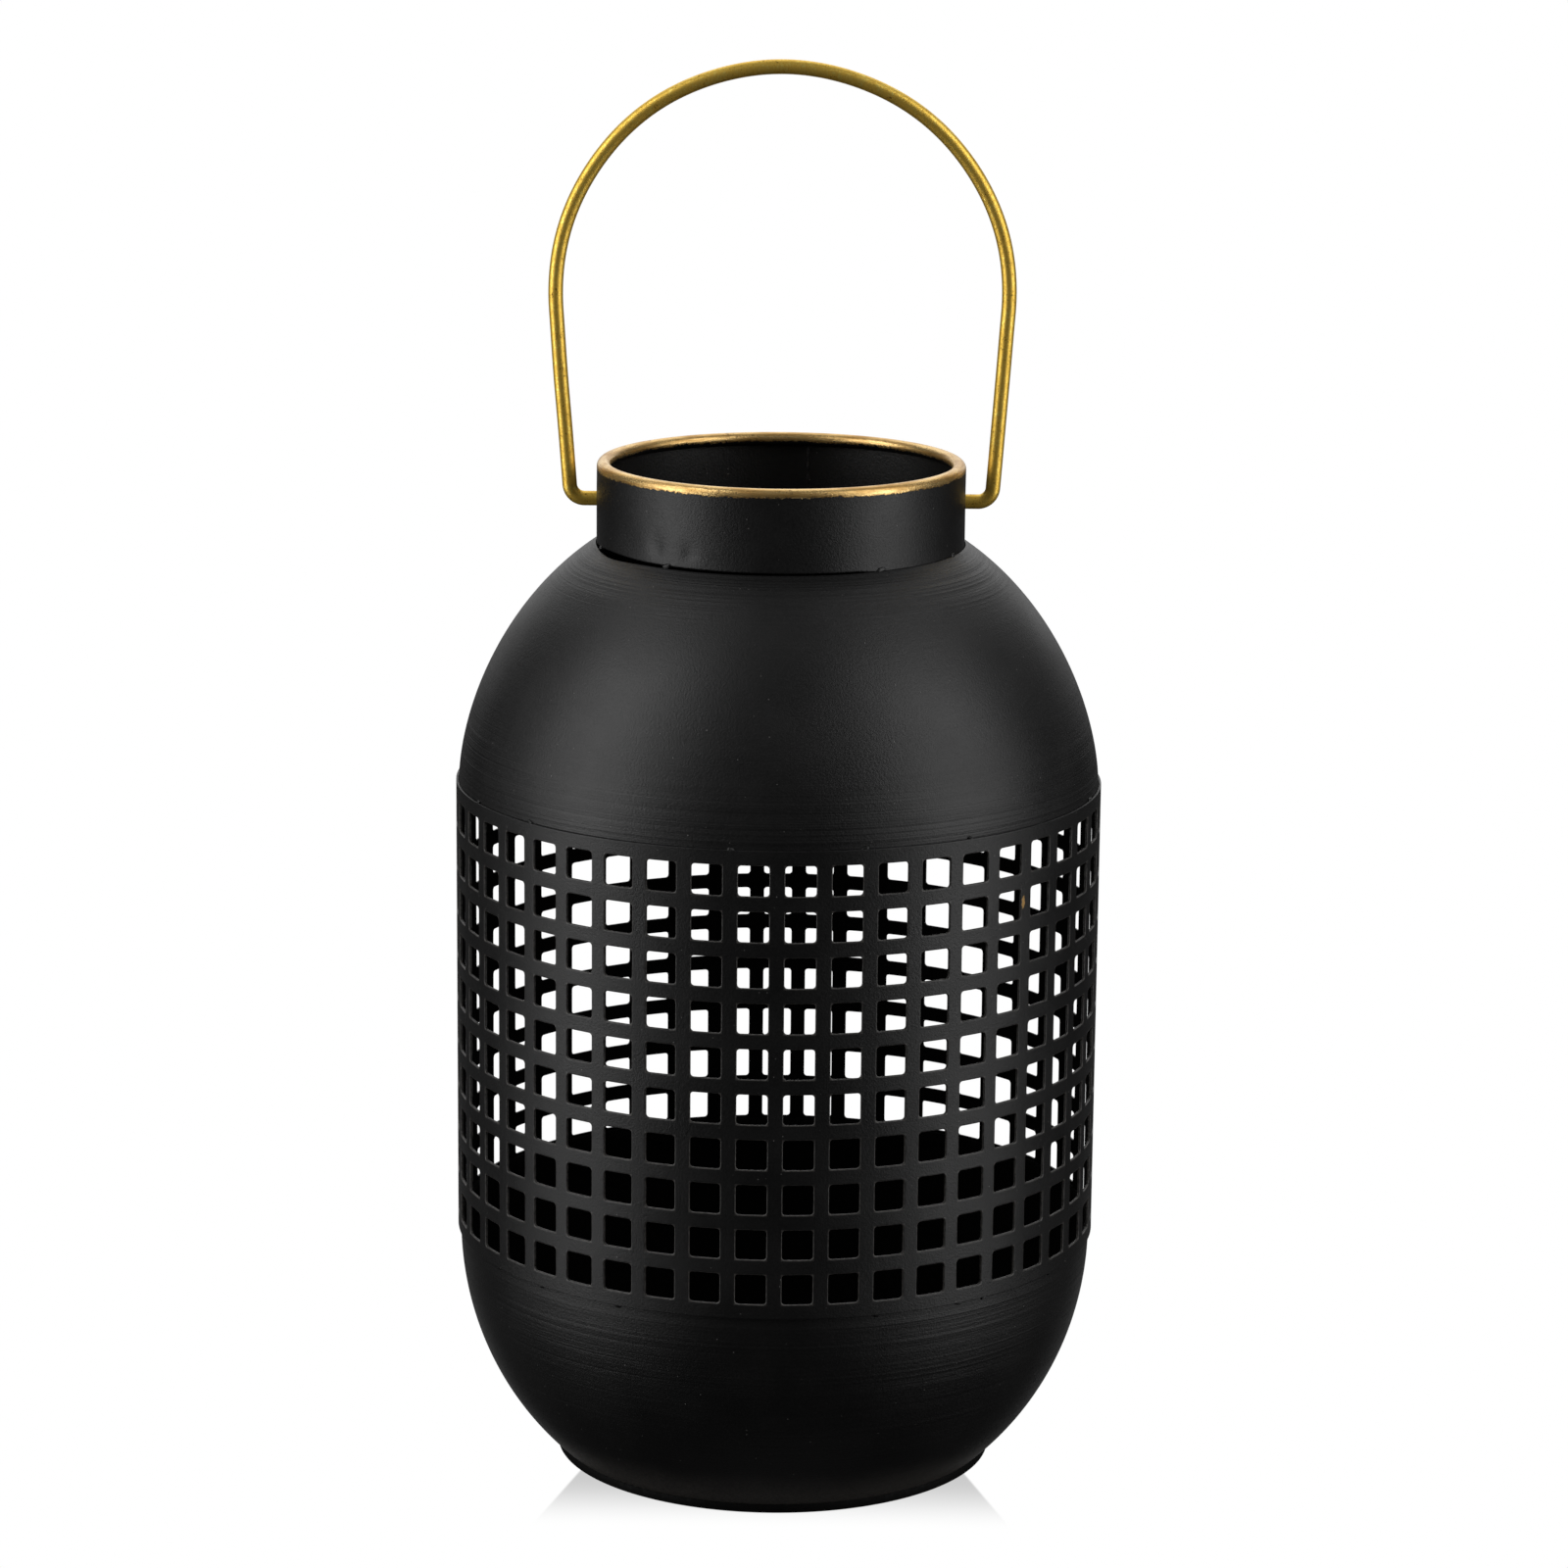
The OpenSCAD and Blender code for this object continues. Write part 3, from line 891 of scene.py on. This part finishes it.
def make_camera():
    """Camera in front, looking slightly down. Its roll follows the lean seen in the photo."""
    data = bpy.data.cameras.new("camera")
    data.lens, data.sensor_width = LENS, 36
    data.clip_start, data.clip_end = 0.05, 60
    camera = bpy.data.objects.new("camera", data)
    bpy.context.scene.collection.objects.link(camera)
    back = Vector((0, -math.cos(CAMERA_PITCH), math.sin(CAMERA_PITCH)))
    look = Vector((LOOK_SIDE, 0, LOOK_HEIGHT))
    turn = (-back).to_track_quat("-Z", "Y").to_matrix() @ Matrix.Rotation(CAMERA_ROLL, 3, "Z")
    camera.matrix_world = Matrix.Translation(look + back * CAMERA_DISTANCE) @ turn.to_4x4()
    bpy.context.scene.camera = camera


OVERHEAD = 1.25
DIM, DIM_UP = 0.02, 0.10
BOUNCE = 0.09
TABLE_BEHIND = 0.35
AIM_HEIGHT = 0.22


def soft_box(name, angle, distance, height, size, power):
    """A rectangular soft light aimed at the lantern's middle."""
    data = bpy.data.lights.new(name, "AREA")
    data.shape, data.size, data.size_y, data.energy = "RECTANGLE", size[0], size[1], power
    light = bpy.data.objects.new(name, data)
    a = math.radians(angle)
    light.location = (distance * math.sin(a), -distance * math.cos(a), height)
    aim = Vector((0, 0, AIM_HEIGHT)) - light.location
    light.rotation_euler = aim.to_track_quat("-Z", "Y").to_euler()
    bpy.context.scene.collection.objects.link(light)


def studio_world():
    """White to the camera. For gloss and light: a white panel behind, a soft one overhead, dim
    in front, a little bounce from below, and the table behind. Each panel's edges are given by
    the y and z of the direction looked in."""
    world = bpy.data.worlds.new("studio")
    bpy.context.scene.world = world
    world.use_nodes = True
    g = Nodes(world.node_tree, "Generated")
    _, y, z = g.split()
    behind = g.math("MULTIPLY", g.ramp(y, 0.74, 0.965), g.ramp(z, -0.10, 0.04, 0.06, 1.0))
    tilted = g.math("MULTIPLY_ADD", y, 0.72, g.math("MULTIPLY", z, 0.694))
    overhead = g.ramp(tilted, 0.66, 0.95, 0.0, OVERHEAD)
    front = g.ramp(z, 0.1, 0.9, DIM, DIM_UP)
    below = g.ramp(z, -0.995, -0.95, BOUNCE, 0.0)
    table = g.math("MULTIPLY", g.ramp(y, 0.70, 0.93), g.ramp(z, -0.36, -0.27, TABLE_BEHIND, 0.0))
    light = behind
    for panel in (overhead, front, below, table):
        light = g.math("MAXIMUM", light, panel)
    seen = g.add("ShaderNodeLightPath").outputs["Is Camera Ray"]
    background = g.tree.nodes["Background"]
    g.put(g.math("MAXIMUM", seen, light), background.inputs["Strength"])
    g.put((1, 1, 1, 1), background.inputs["Color"])


FLOOR_HALF = 8.0
FLOOR_GLOSS = 0.06
MIRROR_MOST = 0.40
MIRROR_START, MIRROR_FULL = -88 * MM, -40 * MM
MIRROR_FADES, MIRROR_ENDS = -34 * MM, -20 * MM
WEDGE_SLOPE = 0.27
WEDGE_IN, WEDGE_OUT = 54.8 * MM, 56.0 * MM


def make_floor():
    """A floor that gives off its own white, and a faint mirror image of the lantern in it, kept
    to two wedges in front of the foot by a mask. Gloss, light and shadow pass it by."""
    verts = [(x * FLOOR_HALF, y * FLOOR_HALF, 0) for x, y in ((-1, -1), (1, -1), (1, 1), (-1, 1))]
    g = Graph("pale_floor")
    x, y, _ = g.split()
    mirror = g.math("MULTIPLY", g.ramp(y, MIRROR_START, MIRROR_FULL, 0.0, MIRROR_MOST),
                    g.ramp(y, MIRROR_FADES, MIRROR_ENDS, 1.0, 0.0))
    aside = g.math("MULTIPLY_ADD", y, WEDGE_SLOPE, g.math("ABSOLUTE", x))
    mirror = g.math("MULTIPLY", mirror, g.ramp(aside, WEDGE_IN, WEDGE_OUT, 1.0, 0.0))
    glow = g.add("ShaderNodeEmission")
    g.put((1, 1, 1, 1), glow.inputs["Color"])
    gloss = g.add("ShaderNodeBsdfGlossy")
    g.put(FLOOR_GLOSS, gloss.inputs["Roughness"])
    g.put((1, 1, 1, 1), gloss.inputs["Color"])
    both = g.add("ShaderNodeMixShader")
    for value, socket in zip((mirror, glow.outputs[0], gloss.outputs[0]), both.inputs):
        g.put(value, socket)
    g.put(both.outputs[0], g.tree.nodes["Material Output"].inputs["Surface"])
    floor = new_object("floor", verts, [(0, 1, 2, 3)], g.material, smooth=False)
    floor.visible_glossy = False
    floor.visible_diffuse = False
    floor.visible_shadow = False


def make_stage():
    scene = bpy.context.scene
    scene.view_settings.view_transform = "Standard"
    scene.view_settings.look = "None"
    make_camera()
    studio_world()
    soft_box("left_box", -70, 1.5, 0.70, (1.00, 2.6), 22.5)
    soft_box("right_box", 66, 1.6, 0.70, (1.10, 2.6), 21)
    make_floor()


make_stage()
build_lantern()
build_bail()
